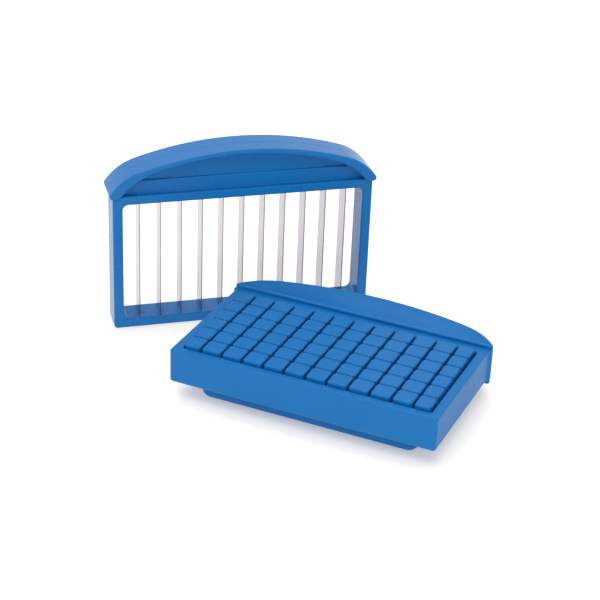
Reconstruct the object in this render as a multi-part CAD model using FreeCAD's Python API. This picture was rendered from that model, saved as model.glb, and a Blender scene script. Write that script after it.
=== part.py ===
"""Two-piece press slicer: a slotted cutting block and a bladed press frame.

The block stands on a low foot and carries a field of small square bosses, cut
through by eleven narrow slots. The press frame is a window of thin steel
blades with a crescent handle. In use the frame is turned face down on the
block's rim and pressed, so that each blade ends in its own slot.

Here both pieces stand on a worktop as they are put down between uses: the
block in front, the frame upright behind it. The row's X axis runs along the
frame's width, Y from its face to its back, and Z up. The origin is the centre
of the underside of the block's foot. Every size is in millimetres.
"""

import FreeCAD, Part
import os
from math import atan2, degrees, sqrt

Vector = FreeCAD.Vector
Rotation = FreeCAD.Rotation

# ---- driving dimensions ---------------------------------------------------
pitch = 10.0                  # distance from blade to blade, and slot to slot
blade_count = 11
column_count = blade_count + 1
row_count = 6

# press frame: x from its middle, y from its face backwards, z up from its foot
frame_half_width = 62.75
frame_depth = 13.6
rail_width = 4.75             # side and bottom rails, seen from the front
window_top = 64.1
top_rail_top = 68.4
window_radius = 2.8
foot_radius = 2.0             # lower outer corners of the frame
rail_edge_radius = 0.55

blade_thick = 0.45
blade_face = 0.75             # the cutting edge lies this far behind the face
blade_back = 11.5
blade_seat = 1.4              # lower end of every blade
blade_tip = 67.2              # upper end of every blade
blade_bevel = 1.1             # depth of the ground cutting edge
blade_play = 0.05             # play of a blade in its pocket, each side

rod_radius = 0.75             # the rods that keep the blades in the frame
rod_setback = 9.4
rod_half_length = 53.5
rod_low = 2.95
rod_high = 65.9

# crescent handle of the frame: its outline is a flat arch between two shoulders,
# and each half width is where the shoulder's circle would end, below the base
crown_front = 1.4             # how far the arched band stands out at the front
crown_rear = 3.4              # and at the back
crown_base = 67.7
crown_apex = 88.5
crown_half_width = 68.9
crown_radius = 165.0
crown_shoulder = 27.5
crown_tip = 1.6               # rounding of its two ends
hollow_apex = 86.0            # inner edge of the arched band
hollow_half_width = 66.9
hollow_radius = 145.0
hollow_shoulder = 35.0
crown_edge_radius = 0.8
web_step_height = 75.0        # the lower strip of the web ends here
web_low_front = 2.7           # from the frame's face to the lower strip
web_high_front = 3.7          # and to the upper panel
web_low_rear = 2.0            # the same from the frame's back
web_high_rear = 3.0
web_skin = 2.2
web_fillet = 0.45
split_crown = (frame_depth - crown_front + crown_rear) / 2  # where the shells meet
split_rail = blade_back       # and where they meet along the rails
parting_width = 0.32
parting_depth = 0.3

# cutting block: x from its middle, y from its front wall backwards, z up
block_half_width = 63.0
block_depth = 67.4            # front wall to the front of the rear rib
skirt_bottom = 8.7
rim_top = 24.8
rim_thick = 2.2
wall = 2.5
block_corner = 1.6
rim_edge = 0.6
skirt_edge = 1.6
boss_top = 26.5
field_half_width = 57.7
field_front = 4.5
field_back = 62.6
side_gap = 0.95               # groove beside the field, left and right
end_gap = 0.2                 # and in front of it and behind it
slot_width = 1.1
slot_bottom = 21.0
groove_width = 0.5            # shallow groove between two rows
groove_bottom = 24.3
boss_corner = 1.25
boss_edge = 0.7
ledge_bottom = 17.0
ledge_top = 19.0
ledge_width = 5.2

# crescent handle of the block, with an outline like the frame's
grip_apex = 87.6
grip_half_width = 70.3
grip_radius = 171.0
grip_shoulder = 33.0
grip_tip = 1.3                # rounding of its two ends
grip_reach = 64.1             # its width each way, past the rounding
grip_blend = 3.0              # hollow fillet between an end wall and the handle
grip_bottom = 6.9
grip_skin = 2.0
grip_edge = 0.6
grip_rib = 2.1                # rib along the front of the tray
tray_lip = 1.2                # width of the flat edge round the tray
tray_depth = 3.6
tray_reach = 12.0             # from the lip to the deepest line of the tray
tray_edge = 0.6               # rounding of the rib towards the tray

# foot cover
foot_half_width = 51.8
foot_front = 7.2
foot_back = 61.4
foot_corner = 5.0
foot_edge = 3.6
foot_wall = 2.2
plate_bottom = 9.4
plate_top = 11.4
plate_play = 0.2

# screws that hold the foot cover
screw_x = 56.6
screw_front = 7.6
screw_back = block_depth - screw_front
screw_radius = 1.25
screw_head_radius = 2.2
screw_head_height = 1.0
post_radius = 2.8
hole_play = 0.1

# pegs of the frame's rear cover
side_peg_heights = (11.0, 34.0, 57.0)
side_peg_radius = 1.0
side_peg_length = 4.0
crown_peg_places = (-40.0, 0.0, 40.0)
crown_peg_height = 71.8
crown_peg_radius = 1.6
crown_peg_cover = 1.2         # web left in front of a peg
peg_play = 0.06

# places in the row
frame_x = -20.84              # middle of the frame's face, from the origin
frame_y = 81.88
block_turn = -39.33           # the block's turn about Z, in degrees
foot_middle = (foot_front + foot_back) / 2

witness_radius = 0.8          # ejector mark on the left rail
witness_depth = 0.15
witness_height = 33.0


# ---- helpers --------------------------------------------------------------
def block_box(x0, x1, y0, y1, z0, z1):
    """A box between two corners."""
    return Part.makeBox(x1 - x0, y1 - y0, z1 - z0, Vector(x0, y0, z0))


def rod(radius, start, direction, length):
    """A cylinder from a start point along a direction."""
    return Part.makeCylinder(radius, length, start, direction)


def edges_near(shape, low, high):
    """Edges whose whole box lies between two corners."""
    found = []
    for edge in shape.Edges:
        box = edge.BoundBox
        inside = (box.XMin >= low[0] and box.XMax <= high[0]
                  and box.YMin >= low[1] and box.YMax <= high[1]
                  and box.ZMin >= low[2] and box.ZMax <= high[2])
        if inside:
            found.append(edge)
    return found


def level_edges(shape, axis, level):
    """Edges that lie in one plane square to the axis 'x', 'y' or 'z'."""
    big = 1000.0
    low = {"x": -big, "y": -big, "z": -big}
    high = {"x": big, "y": big, "z": big}
    low[axis] = level - 0.01
    high[axis] = level + 0.01
    return edges_near(shape, list(low.values()), list(high.values()))


def upright_edges(shape):
    """Straight edges that run along Z."""
    found = []
    for edge in shape.Edges:
        box = edge.BoundBox
        if box.XLength < 0.01 and box.YLength < 0.01 and box.ZLength > 0.5:
            found.append(edge)
    return found


def rounded_box(x0, x1, y0, y1, z0, z1, radius):
    """A box with its four upright edges rounded."""
    shape = block_box(x0, x1, y0, y1, z0, z1)
    return shape.makeFillet(radius, upright_edges(shape))


def arch_centres(half_width, apex, main_radius, shoulder_radius):
    """Height of the main arc's centre, and the place of the right shoulder's centre."""
    centre = apex - main_radius
    middle_x = half_width - shoulder_radius
    reach = main_radius - shoulder_radius
    return centre, middle_x, centre + sqrt(reach ** 2 - middle_x ** 2)


def crescent(half_width, base, apex, main_radius, shoulder_radius):
    """Closed outline of a shallow arch on a flat base, in the X-Y plane."""
    centre, middle_x, middle_y = arch_centres(half_width, apex, main_radius, shoulder_radius)
    reach = main_radius - shoulder_radius
    base_x = middle_x + sqrt(shoulder_radius ** 2 - (base - middle_y) ** 2)
    touch_x = middle_x * main_radius / reach
    touch_y = centre + (middle_y - centre) * main_radius / reach
    # a point on the shoulder, half way between its two ends
    mid = Vector((base_x + touch_x) / 2 - middle_x, (base + touch_y) / 2 - middle_y, 0)
    mid.normalize()
    arc_x = middle_x + mid.x * shoulder_radius
    arc_y = middle_y + mid.y * shoulder_radius
    left_base = Vector(-base_x, base, 0)
    right_base = Vector(base_x, base, 0)
    left_touch = Vector(-touch_x, touch_y, 0)
    right_touch = Vector(touch_x, touch_y, 0)
    edges = [
        Part.LineSegment(left_base, right_base).toShape(),
        Part.Arc(right_base, Vector(arc_x, arc_y, 0), right_touch).toShape(),
        Part.Arc(right_touch, Vector(0, apex, 0), left_touch).toShape(),
        Part.Arc(left_touch, Vector(-arc_x, arc_y, 0), left_base).toShape(),
    ]
    return Part.Face(Part.Wire(edges))


def lying(face, z0, z1):
    """Extrude a face of the X-Y plane upwards, between two heights."""
    solid = face.extrude(Vector(0, 0, z1 - z0))
    solid.translate(Vector(0, 0, z0))
    return solid


def standing(face, y0, y1):
    """Stand a face of the X-Y plane upright and extrude it backwards."""
    solid = face.extrude(Vector(0, 0, y1 - y0))
    solid.rotate(Vector(0, 0, 0), Vector(1, 0, 0), 90)
    solid.translate(Vector(0, y1, 0))
    return solid


# ---- press frame ----------------------------------------------------------
def frame_rails():
    """The four rails round the window, with rounded edges front and back."""
    outer = block_box(-frame_half_width, frame_half_width, 0, frame_depth, 0, top_rail_top)
    corners = [edge for edge in level_edges(outer, "z", 0) if edge.BoundBox.XLength < 0.01]
    outer = outer.makeFillet(foot_radius, corners)
    inner_x = frame_half_width - rail_width
    window = block_box(-inner_x, inner_x, -1, frame_depth + 1, rail_width, window_top)
    across = []
    for edge in window.Edges:
        if edge.BoundBox.XLength < 0.01 and edge.BoundBox.ZLength < 0.01:
            across.append(edge)
    window = window.makeFillet(window_radius, across)
    rails = outer.cut(window)
    rims = level_edges(rails, "y", 0) + level_edges(rails, "y", frame_depth)
    return rails.makeFillet(rail_edge_radius, rims)


def crown_outline(inset):
    """Outer outline of the frame's handle, drawn in by an inset."""
    return crescent(crown_half_width - inset, crown_base, crown_apex - inset,
                    crown_radius - inset, crown_shoulder - inset)


def hollow_outline(base, outset):
    """Inner outline of the handle's arched band, widened by an outset."""
    return crescent(hollow_half_width + outset, base, hollow_apex + outset,
                    hollow_radius + outset, hollow_shoulder + outset)


def crown_band():
    """The arched band along the top of the handle."""
    front = -crown_front
    back = frame_depth + crown_rear
    band = standing(crown_outline(0), front, back)
    tips = [edge for edge in level_edges(band, "z", crown_base) if edge.BoundBox.XLength < 0.01]
    band = band.makeFillet(crown_tip, tips)
    below = crown_base - 3
    band = band.cut(standing(hollow_outline(below, 0), front - 1, back + 1))
    rims = level_edges(band, "y", front) + level_edges(band, "y", back)
    return band.makeFillet(crown_edge_radius, rims)


def crown_web():
    """The stepped web between the top rail and the arched band."""
    base = top_rail_top - 0.6
    low = standing(hollow_outline(base, 0.5), web_low_front, frame_depth - web_low_rear)
    trim = block_box(-70, 70, -1, frame_depth + 1, web_step_height, crown_apex)
    low = low.cut(trim)
    low = low.makeFillet(web_fillet, [edge for edge in level_edges(low, "z", web_step_height)
                                      if edge.BoundBox.YLength < 0.01])
    high_front = web_high_front
    high_back = frame_depth - web_high_rear
    high = standing(hollow_outline(base, 0.5), high_front, high_back)
    web = low.fuse(high)
    pocket = standing(hollow_outline(top_rail_top + 0.8, -0.8),
                      high_front + web_skin, high_back - web_skin)
    return web.cut(pocket)


def parting_groove():
    """The fine groove that shows where the two shells meet."""
    half = parting_width / 2
    sleeve = standing(crown_outline(-2), split_crown - half, split_crown + half)
    crown = sleeve.cut(standing(crown_outline(parting_depth), -20, 40))
    below = block_box(-80, 80, -20, 40, 0, crown_base + parting_depth)
    crown = crown.cut(below)
    inner_x = frame_half_width - rail_width
    deep = parting_depth * 0.7
    y0 = split_rail - half * 0.7
    y1 = split_rail + half * 0.7
    window = block_box(-inner_x - deep, inner_x + deep, y0, y1,
                       rail_width - deep, window_top + deep)
    outside = block_box(-70, 70, y0, y1, -2, crown_base)
    kept = block_box(-frame_half_width + deep, frame_half_width - deep, y0 - 1, y1 + 1,
                     deep, crown_base + 1)
    return crown.fuse(outside.cut(kept)).fuse(window)


def blade_positions():
    """Middle of every blade across the frame."""
    first = -(blade_count - 1) / 2 * pitch
    return [first + number * pitch for number in range(blade_count)]


def blade_pockets():
    """The pockets and rod channels that the rear cover closes."""
    pockets = []
    half = blade_thick / 2 + blade_play
    for x in blade_positions():
        pockets.append(block_box(x - half, x + half, blade_face - blade_play, split_rail,
                                 blade_seat - 0.1, rail_width + 1))
        pockets.append(block_box(x - half, x + half, blade_face - blade_play, split_rail,
                                 window_top - 1, blade_tip + 0.1))
    reach = rod_half_length + 0.3
    free = rod_radius + 0.1
    for height in (rod_low, rod_high):
        pockets.append(block_box(-reach, reach, rod_setback - free, split_rail,
                                 height - free, height + free))
    return pockets


def peg_places():
    """Pegs of the rear cover: x, z, radius, front end and root of each."""
    rail_x = frame_half_width - rail_width / 2
    places = []
    for side in (-1, 1):
        for height in side_peg_heights:
            places.append((side * rail_x, height, side_peg_radius,
                           split_rail - side_peg_length, split_rail))
    for x in crown_peg_places:
        places.append((x, crown_peg_height, crown_peg_radius,
                       web_high_front + crown_peg_cover, split_crown + crown_peg_radius))
    return places


def peg(place, play):
    """One peg of the rear cover, or its socket when play is added."""
    x, z, radius, front, root = place
    start = Vector(x, front - play, z)
    return rod(radius + play, start, Vector(0, 1, 0), root - front + play)


def soften_web(whole):
    """Round the inner corners where the web meets the band, the top rail and its own step."""
    depths = (web_low_front, web_high_front,
              frame_depth - web_low_rear, frame_depth - web_high_rear)
    corners = []
    for depth in depths:
        for edge in level_edges(whole, "y", depth):
            box = edge.BoundBox
            crest = abs(box.ZMin - web_step_height + web_fillet) < 0.01 and box.ZLength < 0.01
            if box.ZMin > top_rail_top - 0.1 and not crest:
                corners.append(edge)
    return whole.makeFillet(web_fillet, corners)


def make_frame_shells():
    """The front shell, and the rear cover that closes it."""
    whole = frame_rails().fuse(crown_band()).fuse(crown_web()).removeSplitter()
    whole = soften_web(whole)
    whole = whole.cut(parting_groove())
    behind = block_box(-80, 80, split_rail, 40, -5, crown_base)
    behind = behind.fuse(block_box(-80, 80, split_crown, 40, crown_base, 100))
    front = whole.cut(behind)
    rear = whole.common(behind)
    for pocket in blade_pockets():
        front = front.cut(pocket)
    for place in peg_places():
        front = front.cut(peg(place, peg_play))
        rear = rear.fuse(peg(place, 0))
    mark = Vector(-frame_half_width + rail_width / 2, -1, witness_height)
    front = front.cut(rod(witness_radius, mark, Vector(0, 1, 0), 1 + witness_depth))
    return {"frame_front": front, "frame_rear": rear}


def make_blade(x):
    """One flat blade, ground to an edge along its front."""
    half = blade_thick / 2
    tip = 0.05
    points = [
        Vector(x - tip, blade_face, 0),
        Vector(x + tip, blade_face, 0),
        Vector(x + half, blade_face + blade_bevel, 0),
        Vector(x + half, blade_back, 0),
        Vector(x - half, blade_back, 0),
        Vector(x - half, blade_face + blade_bevel, 0),
    ]
    section = Part.Face(Part.makePolygon(points + points[:1]))
    blade = lying(section, blade_seat, blade_tip)
    for height in (rod_low, rod_high):
        start = Vector(x - 1, rod_setback, height)
        blade = blade.cut(rod(rod_radius + 0.05, start, Vector(1, 0, 0), 2))
    return blade


def make_blade_rod(height):
    """A steel rod that runs through all the blades at one end."""
    start = Vector(-rod_half_length, rod_setback, height)
    shape = rod(rod_radius, start, Vector(1, 0, 0), 2 * rod_half_length)
    return shape.makeChamfer(0.2, level_edges(shape, "x", -rod_half_length)
                             + level_edges(shape, "x", rod_half_length))


# ---- cutting block --------------------------------------------------------
def grip_outline(inset, base):
    """Outline of the block's crescent handle, drawn in by an inset."""
    return crescent(grip_half_width - inset, base, grip_apex - inset,
                    grip_radius - inset, grip_shoulder - inset)


def tray_channel(lip_radius, start, sweep):
    """A round channel turned about the Z axis: its lip's radius, and two angles from +Y."""
    rise = 1.0                # the channel is drawn this far above the handle's top
    curve = (tray_reach ** 2 + tray_depth ** 2) / (2 * tray_depth)
    half = sqrt(curve ** 2 - (curve - tray_depth - rise) ** 2)
    middle = lip_radius - tray_reach
    top = boss_top + rise
    inner = Vector(0, middle - half, top)
    lowest = Vector(0, middle, boss_top - tray_depth)
    outer = Vector(0, middle + half, top)
    edges = [Part.Arc(inner, lowest, outer).toShape(), Part.LineSegment(outer, inner).toShape()]
    section = Part.Face(Part.Wire(edges))
    section.rotate(Vector(0, 0, 0), Vector(0, 0, 1), start)
    return section.revolve(Vector(0, 0, 0), Vector(0, 0, 1), sweep)


def tray_dish():
    """The hollow of the tray: a channel that follows the handle's outer edge."""
    centre, middle_x, middle_y = arch_centres(grip_half_width, grip_apex, grip_radius,
                                              grip_shoulder)
    turn = degrees(atan2(middle_x, middle_y - centre))
    main = tray_channel(grip_radius - tray_lip, turn, -2 * turn)
    main.translate(Vector(0, centre, 0))
    right = tray_channel(grip_shoulder - tray_lip, -turn, turn - 75)
    right.translate(Vector(middle_x, middle_y, 0))
    left = right.mirror(Vector(0, 0, 0), Vector(1, 0, 0))
    dish = main.fuse(right).fuse(left)
    heel = block_depth + grip_rib
    return dish.common(block_box(-80, 80, heel, 100, 0, boss_top + 1))


def end_blend():
    """Hollow fillet between the right end wall and the handle's end, as a separate piece."""
    wall_y = block_depth - grip_blend
    centre_x = block_half_width + grip_blend
    near = Vector(block_half_width, wall_y, 0)
    far = Vector(centre_x, block_depth, 0)
    middle = Vector(centre_x - grip_blend / sqrt(2), wall_y + grip_blend / sqrt(2), 0)
    corners = [far, Vector(centre_x, block_depth + 1, 0), Vector(block_half_width - 1, block_depth + 1, 0),
               Vector(block_half_width - 1, wall_y, 0), near]
    edges = [Part.Arc(near, middle, far).toShape()]
    for start, end in zip(corners, corners[1:]):
        edges.append(Part.LineSegment(start, end).toShape())
    piece = lying(Part.Face(Part.Wire(edges)), skirt_bottom + skirt_edge / 2, rim_top - rim_edge / 3)
    return piece.common(block_box(0, grip_reach, 0, 100, 0, rim_top))


def block_grip():
    """The crescent handle: a tray above, hollow below."""
    grip = lying(grip_outline(0, block_depth), grip_bottom, boss_top)
    tips = [edge for edge in upright_edges(grip) if edge.BoundBox.YMax < block_depth + 0.01]
    grip = grip.makeFillet(grip_tip, tips)
    rims = level_edges(grip, "z", boss_top) + level_edges(grip, "z", grip_bottom)
    grip = grip.makeFillet(grip_edge, rims)
    grip = grip.cut(tray_dish())
    heel = block_depth + grip_rib
    rib = [edge for edge in level_edges(grip, "z", boss_top)
           if abs(edge.BoundBox.YMin - heel) < 0.01 and edge.BoundBox.YLength < 0.01]
    grip = grip.makeFillet(tray_edge, rib)
    under = lying(grip_outline(grip_skin, block_depth + 1.2), grip_bottom - 1,
                  boss_top - tray_depth - grip_skin)
    return grip.cut(under)


def make_block_shell():
    """Rim, skirt and handle of the block, open in the middle."""
    back = block_depth + 1.2
    body = block_box(-block_half_width, block_half_width, 0, back, skirt_bottom, rim_top)
    fronts = [edge for edge in upright_edges(body) if edge.BoundBox.YMax < 0.01]
    body = body.makeFillet(block_corner, fronts)
    for level, radius in ((rim_top, rim_edge), (skirt_bottom, skirt_edge)):
        rims = [edge for edge in level_edges(body, "z", level)
                if edge.BoundBox.YMin < back - 0.01]
        body = body.makeFillet(radius, rims)
    inside = rounded_box(-block_half_width + wall, block_half_width - wall,
                         wall, block_depth - wall, skirt_bottom - 1, rim_top - rim_thick, 1.0)
    mouth = rounded_box(-field_half_width - side_gap, field_half_width + side_gap,
                        field_front - end_gap, field_back + end_gap,
                        skirt_bottom, rim_top + 1, 1.4)
    shell = body.cut(inside).cut(mouth)
    mouth_rim = [edge for edge in level_edges(shell, "z", rim_top)
                 if abs(edge.BoundBox.XMax) < block_half_width - 2
                 and edge.BoundBox.YMin > 2 and edge.BoundBox.YMax < block_depth - 2]
    shell = shell.makeFillet(0.35, mouth_rim)
    ledge = block_box(-block_half_width + 1, block_half_width - 1, 1, block_depth - 1,
                      ledge_bottom, ledge_top)
    ledge = ledge.cut(rounded_box(-block_half_width + wall + ledge_width,
                                  block_half_width - wall - ledge_width,
                                  wall + ledge_width, block_depth - wall - ledge_width,
                                  ledge_bottom - 1, ledge_top + 1, 2.0))
    shell = shell.fuse(ledge)
    for x, y in screw_places():
        post = rod(post_radius, Vector(x, y, plate_top), Vector(0, 0, 1),
                   ledge_bottom - plate_top + 0.5)
        hole = rod(screw_radius + 0.05, Vector(x, y, plate_top - 1), Vector(0, 0, 1), 6)
        shell = shell.fuse(post).cut(hole)
    blend = end_blend()
    shell = shell.fuse(block_grip()).fuse(blend).fuse(blend.mirror(Vector(0, 0, 0), Vector(1, 0, 0)))
    return shell.removeSplitter()


def column_edges():
    """Left and right side of every column of bosses."""
    slots = blade_positions()
    lefts = [-field_half_width] + [x + slot_width / 2 for x in slots]
    rights = [x - slot_width / 2 for x in slots] + [field_half_width]
    return list(zip(lefts, rights))


def make_cutting_bed():
    """The slotted bed: columns on a plate, with a row of bosses on each."""
    bed = block_box(-field_half_width, field_half_width, field_front, field_back,
                    ledge_top, slot_bottom)
    row_pitch = (field_back - field_front) / row_count
    pieces = []
    for left, right in column_edges():
        pieces.append(rounded_box(left, right, field_front, field_back,
                                  slot_bottom - 0.5, groove_bottom, 0.5))
        for row in range(row_count):
            front = field_front + row * row_pitch + groove_width / 2
            back = field_front + (row + 1) * row_pitch - groove_width / 2
            boss = rounded_box(left, right, front, back, groove_bottom - 0.3, boss_top,
                               boss_corner)
            pieces.append(boss.makeFillet(boss_edge, level_edges(boss, "z", boss_top)))
    return bed.multiFuse(pieces).removeSplitter()


def screw_places():
    """Middle of every screw of the foot cover."""
    return [(side * screw_x, y) for side in (-1, 1) for y in (screw_front, screw_back)]


def make_foot_cover():
    """Bottom plate with the low foot that the block stands on."""
    edge_x = block_half_width - wall - plate_play
    plate = rounded_box(-edge_x, edge_x, wall + plate_play, block_depth - wall - plate_play,
                        plate_bottom, plate_top, 1.0)
    foot = rounded_box(-foot_half_width, foot_half_width, foot_front, foot_back,
                       0, plate_bottom + 0.5, foot_corner)
    foot = foot.makeFillet(foot_edge, level_edges(foot, "z", 0))
    inside = rounded_box(-foot_half_width + foot_wall, foot_half_width - foot_wall,
                         foot_front + foot_wall, foot_back - foot_wall,
                         foot_wall, plate_top + 1, foot_corner - foot_wall)
    cover = plate.fuse(foot).cut(inside)
    for x, y in screw_places():
        through = rod(screw_radius + hole_play, Vector(x, y, 0), Vector(0, 0, 1), 20)
        seat = rod(screw_head_radius + hole_play, Vector(x, y, 0), Vector(0, 0, 1),
                   plate_bottom + screw_head_height)
        cover = cover.cut(through).cut(seat)
    return cover.removeSplitter()


def make_foot_screws():
    """The four screws under the block, as one group."""
    screws = []
    for x, y in screw_places():
        head = rod(screw_head_radius, Vector(x, y, plate_bottom), Vector(0, 0, 1),
                   screw_head_height)
        head = head.makeFillet(0.35, level_edges(head, "z", plate_bottom))
        shank = rod(screw_radius, Vector(x, y, plate_bottom + 0.5), Vector(0, 0, 1), 6.2)
        screw = head.fuse(shank)
        for turn in (0, 90):
            arm = block_box(-1.5, 1.5, -0.3, 0.3, -1, 0.6)
            arm.rotate(Vector(0, 0, 0), Vector(0, 0, 1), turn)
            arm.translate(Vector(x, y, plate_bottom))
            screw = screw.cut(arm)
        screws.append(screw)
    return Part.makeCompound(screws)


# ---- the whole object -----------------------------------------------------
def place_frame(shape):
    """Move a piece of the frame to its place in the row."""
    placed = shape.copy()
    placed.translate(Vector(frame_x, frame_y, 0))
    return placed


def place_block(shape):
    """Turn and move a piece of the block to its place in the row."""
    placed = shape.copy()
    placed.translate(Vector(0, -foot_middle, 0))
    placed.rotate(Vector(0, 0, 0), Vector(0, 0, 1), block_turn)
    return placed


def make_all():
    """Every sub-part by name, in its place."""
    nodes = {}
    for name, shape in make_frame_shells().items():
        nodes[name] = place_frame(shape)
    for number, x in enumerate(blade_positions(), start=1):
        nodes[f"blade_{number:02d}"] = place_frame(make_blade(x))
    nodes["blade_rod_low"] = place_frame(make_blade_rod(rod_low))
    nodes["blade_rod_high"] = place_frame(make_blade_rod(rod_high))
    nodes["block_shell"] = place_block(make_block_shell())
    nodes["cutting_bed"] = place_block(make_cutting_bed())
    nodes["foot_cover"] = place_block(make_foot_cover())
    nodes["foot_screws"] = place_block(make_foot_screws())
    return nodes


def main():
    """Write one STEP file for each sub-part."""
    os.makedirs("parts", exist_ok=True)
    for name, shape in make_all().items():
        shape.exportStep(f"parts/{name}.step")
        print(name, len(shape.Solids), round(shape.Volume, 1), shape.isValid())


main()
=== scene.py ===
"""Looks of the two-piece press slicer: blue moulded plastic and ground steel blades.

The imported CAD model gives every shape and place. This script adds the materials,
the studio floor and lights, and the camera. Lengths are in metres.
"""

import math

import bpy
from mathutils import Matrix, Vector


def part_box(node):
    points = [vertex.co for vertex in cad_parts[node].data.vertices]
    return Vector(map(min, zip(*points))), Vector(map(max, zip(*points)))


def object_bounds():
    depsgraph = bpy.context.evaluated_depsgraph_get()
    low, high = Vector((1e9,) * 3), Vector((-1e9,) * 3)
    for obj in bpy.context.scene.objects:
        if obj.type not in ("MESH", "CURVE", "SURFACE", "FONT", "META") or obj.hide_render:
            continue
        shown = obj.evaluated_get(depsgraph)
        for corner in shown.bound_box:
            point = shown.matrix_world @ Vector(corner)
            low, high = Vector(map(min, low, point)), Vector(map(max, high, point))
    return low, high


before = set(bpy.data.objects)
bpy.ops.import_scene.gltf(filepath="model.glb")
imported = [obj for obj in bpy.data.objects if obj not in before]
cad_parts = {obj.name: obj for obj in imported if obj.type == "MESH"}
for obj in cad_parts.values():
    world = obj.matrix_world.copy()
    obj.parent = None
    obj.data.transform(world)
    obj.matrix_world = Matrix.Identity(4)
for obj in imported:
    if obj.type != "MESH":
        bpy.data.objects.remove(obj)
cad_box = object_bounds()

# ---- driving values ---------------------------------------------------------
mm = 0.001

camera_turn = math.radians(-16.014)   # about Z, from looking along +Y
camera_drop = math.radians(27.708)    # below the horizon
camera_roll = math.radians(2.366)
camera_place = Vector((-0.19673, -0.63192, 0.39628))
camera_lens = 102.65                  # for a sensor 36 mm wide

plastic_blue = (0.0015, 0.140, 0.430)
plastic_light = (0.003, 0.162, 0.470)
plastic_edge_highlight = (0.075, 0.27, 0.60)    # painted highlight: paler blue along convex and concave edges, standing in for light caught there
steel_side = (0.40, 0.385, 0.475)
steel_bevel_shade = (0.17, 0.18, 0.26)       # painted shade: darker colour on the bevel along the cutting edge
wire_grey = (0.5, 0.5, 0.51)
floor_white = (0.89, 0.86, 0.82)
floor_glow = (0.32, 0.305, 0.275)      # the table is lit a little from below

blade_bevel = 1.1 * mm                # depth of the ground cutting edge
highlight_reach = 0.55 * mm                # width of the painted highlight along an edge

# textures: noise cells to a metre, and the depth of the bumps
tone_cells = 38.0
speckle_cells = 900.0
gloss_cells = 90.0
sway_cells = 45.0
sway_depth = 0.03 * mm
peel_cells = 420.0
grain_cells = 1800.0
grind_cells = 5200.0
grind_depth = 0.004 * mm
steel_cloud_cells = 130.0
table_cells = 3.0

floor_size = 8.0
world_tint = (1.0, 0.99, 0.975)


# ---- node helpers -----------------------------------------------------------
def new_material(name):
    """A material with an empty node tree, and its principled shader linked to the output."""
    material = bpy.data.materials.new(name)
    material.use_nodes = True
    tree = material.node_tree
    tree.nodes.clear()
    output = tree.nodes.new("ShaderNodeOutputMaterial")
    shader = tree.nodes.new("ShaderNodeBsdfPrincipled")
    tree.links.new(shader.outputs["BSDF"], output.inputs["Surface"])
    return material, tree, shader


def feed(tree, socket, source):
    """Link a source socket to an input, or set the input to a plain value."""
    if isinstance(source, bpy.types.NodeSocket):
        tree.links.new(source, socket)
    else:
        socket.default_value = source


def place_coordinates(tree, scale=(1, 1, 1)):
    """Coordinates fixed to the object, scaled."""
    coordinates = tree.nodes.new("ShaderNodeTexCoord")
    mapping = tree.nodes.new("ShaderNodeMapping")
    tree.links.new(coordinates.outputs["Object"], mapping.inputs["Vector"])
    mapping.inputs["Scale"].default_value = scale
    return mapping.outputs["Vector"]


def noise(tree, vector, scale, detail=2.0, roughness=0.5):
    """Noise in 0..1."""
    node = tree.nodes.new("ShaderNodeTexNoise")
    node.inputs["Scale"].default_value = scale
    node.inputs["Detail"].default_value = detail
    node.inputs["Roughness"].default_value = roughness
    tree.links.new(vector, node.inputs["Vector"])
    return node.outputs["Fac"]


def to_range(tree, source, low, high, from_low=0.0, from_high=1.0):
    """Carry a value from one range to another."""
    node = tree.nodes.new("ShaderNodeMapRange")
    node.inputs["From Min"].default_value = from_low
    node.inputs["From Max"].default_value = from_high
    node.inputs["To Min"].default_value = low
    node.inputs["To Max"].default_value = high
    tree.links.new(source, node.inputs["Value"])
    return node.outputs["Result"]


def mix_colour(tree, factor, first, second):
    """Blend two colours."""
    node = tree.nodes.new("ShaderNodeMix")
    node.data_type = "RGBA"
    feed(tree, node.inputs["Factor"], factor)
    for socket, colour in ((node.inputs["A"], first), (node.inputs["B"], second)):
        feed(tree, socket, colour if isinstance(colour, bpy.types.NodeSocket) else (*colour, 1.0))
    return node.outputs["Result"]


def arithmetic(tree, operation, first, second=0.0):
    """One step of arithmetic on two values."""
    node = tree.nodes.new("ShaderNodeMath")
    node.operation = operation
    feed(tree, node.inputs[0], first)
    feed(tree, node.inputs[1], second)
    return node.outputs["Value"]


def bump(tree, height, distance, normal=None):
    """Bump from a height in 0..1, with a depth in metres."""
    node = tree.nodes.new("ShaderNodeBump")
    node.inputs["Strength"].default_value = 1.0
    node.inputs["Distance"].default_value = distance
    tree.links.new(height, node.inputs["Height"])
    if normal:
        tree.links.new(normal, node.inputs["Normal"])
    return node.outputs["Normal"]


def edge_mask(tree, radius):
    """Near 1 along sharp edges and 0 on flat stretches."""
    rounded = tree.nodes.new("ShaderNodeBevel")
    rounded.samples = 8
    rounded.inputs["Radius"].default_value = radius
    geometry = tree.nodes.new("ShaderNodeNewGeometry")
    dot = tree.nodes.new("ShaderNodeVectorMath")
    dot.operation = "DOT_PRODUCT"
    tree.links.new(rounded.outputs["Normal"], dot.inputs[0])
    tree.links.new(geometry.outputs["Normal"], dot.inputs[1])
    return to_range(tree, dot.outputs["Value"], 1.0, 0.0, 0.80, 0.995)


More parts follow.
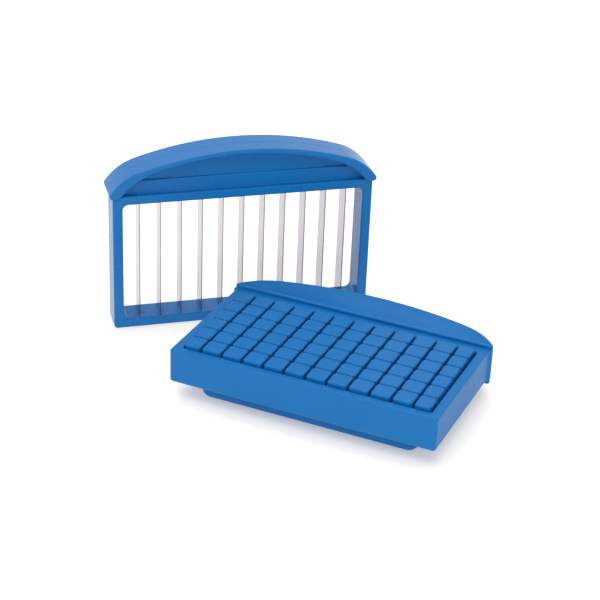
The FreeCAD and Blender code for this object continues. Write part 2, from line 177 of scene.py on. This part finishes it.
# ---- materials --------------------------------------------------------------
def moulded_plastic(name, gloss, grain, peel, shine, edge_highlight_amount):
    """Blue moulded plastic.

    Its roughness, the depth of its fine and coarse texture, its specular level, and how
    strongly its edges and creases are painted paler as a highlight.
    """
    material, tree, shader = new_material(name)
    place = place_coordinates(tree)
    cloud = noise(tree, place, tone_cells, 3.0)
    speckle = noise(tree, place, speckle_cells, 2.0)
    tone = arithmetic(tree, "ADD", to_range(tree, cloud, 0.0, 0.75, 0.2, 0.8),
                      to_range(tree, speckle, 0.0, 0.25))
    colour = mix_colour(tree, tone, plastic_blue, plastic_light)
    # painted highlight: edges and creases are mixed towards a paler blue
    edges = edge_mask(tree, highlight_reach)
    colour = mix_colour(tree, arithmetic(tree, "MULTIPLY", edges, edge_highlight_amount), colour, plastic_edge_highlight)
    tree.links.new(colour, shader.inputs["Base Color"])
    smudge = noise(tree, place, gloss_cells, 3.0, 0.55)
    tree.links.new(to_range(tree, smudge, gloss - 0.03, gloss + 0.04, 0.1, 0.9),
                   shader.inputs["Roughness"])
    shader.inputs["IOR"].default_value = 1.5
    shader.inputs["Specular IOR Level"].default_value = shine
    sway = bump(tree, noise(tree, place, sway_cells, 1.0), sway_depth)
    skin = bump(tree, noise(tree, place, peel_cells, 2.0), peel, sway)
    fine = bump(tree, noise(tree, place, grain_cells, 3.0, 0.7), grain, skin)
    tree.links.new(fine, shader.inputs["Normal"])
    return material


def along_y(tree):
    """The Y coordinate of a point on the object."""
    coordinates = tree.nodes.new("ShaderNodeTexCoord")
    parts = tree.nodes.new("ShaderNodeSeparateXYZ")
    tree.links.new(coordinates.outputs["Object"], parts.inputs["Vector"])
    return parts.outputs["Y"]


def ground_steel(name, colour, along=(1.0, 1.0, 0.02), edge_at=None):
    """Steel with fine grinding lines that run along one axis, and a rougher cutting edge painted
    darker as shade.
    """
    material, tree, shader = new_material(name)
    streaks = place_coordinates(tree, along)
    place = place_coordinates(tree)
    lines = noise(tree, streaks, grind_cells, 3.0, 0.7)
    broad = noise(tree, place, steel_cloud_cells, 3.0)
    darker = tuple(part * 0.86 for part in colour)
    tone = arithmetic(tree, "MULTIPLY", to_range(tree, lines, 0.2, 1.0, 0.25, 0.75),
                      to_range(tree, broad, 0.7, 1.0, 0.3, 0.7))
    tint = mix_colour(tree, tone, darker, colour)
    polish = to_range(tree, lines, 0.05, 0.16, 0.25, 0.75)
    if edge_at is not None:
        # painted shade: the bevel along the cutting edge is coloured darker, and it is also made
        # rougher
        ground = to_range(tree, along_y(tree), 1.0, 0.0, edge_at - 0.1 * mm, edge_at + 0.1 * mm)
        tint = mix_colour(tree, ground, tint, steel_bevel_shade)
        polish = arithmetic(tree, "ADD", polish, arithmetic(tree, "MULTIPLY", ground, 0.15))
    tree.links.new(tint, shader.inputs["Base Color"])
    tree.links.new(polish, shader.inputs["Roughness"])
    shader.inputs["Metallic"].default_value = 1.0
    tree.links.new(bump(tree, lines, grind_depth), shader.inputs["Normal"])
    return material


def studio_floor(name):
    """Plain white table, lit a little from below."""
    material, tree, shader = new_material(name)
    place = place_coordinates(tree)
    cloud = noise(tree, place, table_cells, 1.0)
    paler = tuple(part * 1.01 for part in floor_white)
    tree.links.new(mix_colour(tree, cloud, floor_white, paler), shader.inputs["Base Color"])
    shader.inputs["Roughness"].default_value = 0.7
    shader.inputs["Emission Color"].default_value = (*floor_glow, 1.0)
    shader.inputs["Emission Strength"].default_value = 1.0
    return material


def dress(names, material):
    """Give CAD nodes a material."""
    for name in names:
        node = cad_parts[name]
        node.data.materials.clear()
        node.data.materials.append(material)


# ---- stage ------------------------------------------------------------------
def make_floor():
    """A wide table top, level with the underside of the foot."""
    bpy.ops.mesh.primitive_plane_add(size=floor_size, location=(0, 0, cad_box[0].z))
    floor = bpy.context.object
    floor.name = "floor"
    floor.data.materials.append(studio_floor("table_white"))


def make_area_light(name, place, aim, size, power):
    """A square soft box that points at a place."""
    data = bpy.data.lights.new(name, "AREA")
    data.shape = "SQUARE"
    data.size = size
    data.energy = power
    light = bpy.data.objects.new(name, data)
    bpy.context.scene.collection.objects.link(light)
    light.location = place
    light.rotation_mode = "QUATERNION"
    light.rotation_quaternion = (Vector(aim) - Vector(place)).to_track_quat("-Z", "Y")


def make_world(front, back, horizon, zenith):
    """White light from all sides: its strength in front and behind, and how it fades upwards."""
    world = bpy.data.worlds.new("studio")
    world.use_nodes = True
    tree = world.node_tree
    background = tree.nodes["Background"]
    direction = tree.nodes.new("ShaderNodeTexCoord")
    parts = tree.nodes.new("ShaderNodeSeparateXYZ")
    tree.links.new(direction.outputs["Generated"], parts.inputs["Vector"])
    strength = arithmetic(tree, "MULTIPLY",
                          to_range(tree, parts.outputs["Y"], front, back, -0.6, 0.8),
                          to_range(tree, parts.outputs["Z"], horizon, zenith))
    tree.links.new(strength, background.inputs["Strength"])
    background.inputs["Color"].default_value = (*world_tint, 1.0)
    bpy.context.scene.world = world


def make_camera():
    """The camera, in front and to the left of the object, looking down at it."""
    data = bpy.data.cameras.new("camera")
    data.lens = camera_lens
    data.sensor_width = 36.0
    camera = bpy.data.objects.new("camera", data)
    bpy.context.scene.collection.objects.link(camera)
    turn = Matrix.Rotation(camera_turn, 4, "Z")
    tilt = Matrix.Rotation(math.pi / 2 - camera_drop, 4, "X")
    roll = Matrix.Rotation(camera_roll, 4, "Z")
    camera.matrix_world = Matrix.Translation(camera_place) @ turn @ tilt @ roll
    bpy.context.scene.camera = camera


def main():
    """Dress the model and light it."""
    bpy.context.scene.view_settings.view_transform = "Standard"
    blades = [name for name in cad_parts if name.startswith("blade_") and "rod" not in name]
    rods = ["blade_rod_low", "blade_rod_high", "foot_screws"]
    cutting_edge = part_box("blade_01")[0].y + blade_bevel
    # the last number given to moulded_plastic is how strongly its edges carry the painted
    # highlight
    dress(["frame_front", "frame_rear"],
          moulded_plastic("frame_blue", 0.26, 0.0003 * mm, 0.001 * mm, 0.27, 0.9))
    dress(["block_shell", "cutting_bed", "foot_cover"],
          moulded_plastic("block_blue", 0.45, 0.0022 * mm, 0.004 * mm, 0.2, 0.4))
    dress(blades, ground_steel("blade_steel", steel_side, edge_at=cutting_edge))
    dress(rods, ground_steel("drawn_steel", wire_grey, (0.02, 1.0, 1.0)))
    make_floor()
    make_world(0.80, 1.0, 1.12, 0.60)
    make_area_light("soft_top", (-0.1, 0.45, 1.25), (0, 0, 0), 0.8, 5.4)
    make_area_light("soft_front", (-0.35, -0.8, 1.6), (0, 0, 0.03), 0.9, 10.0)
    make_camera()


main()
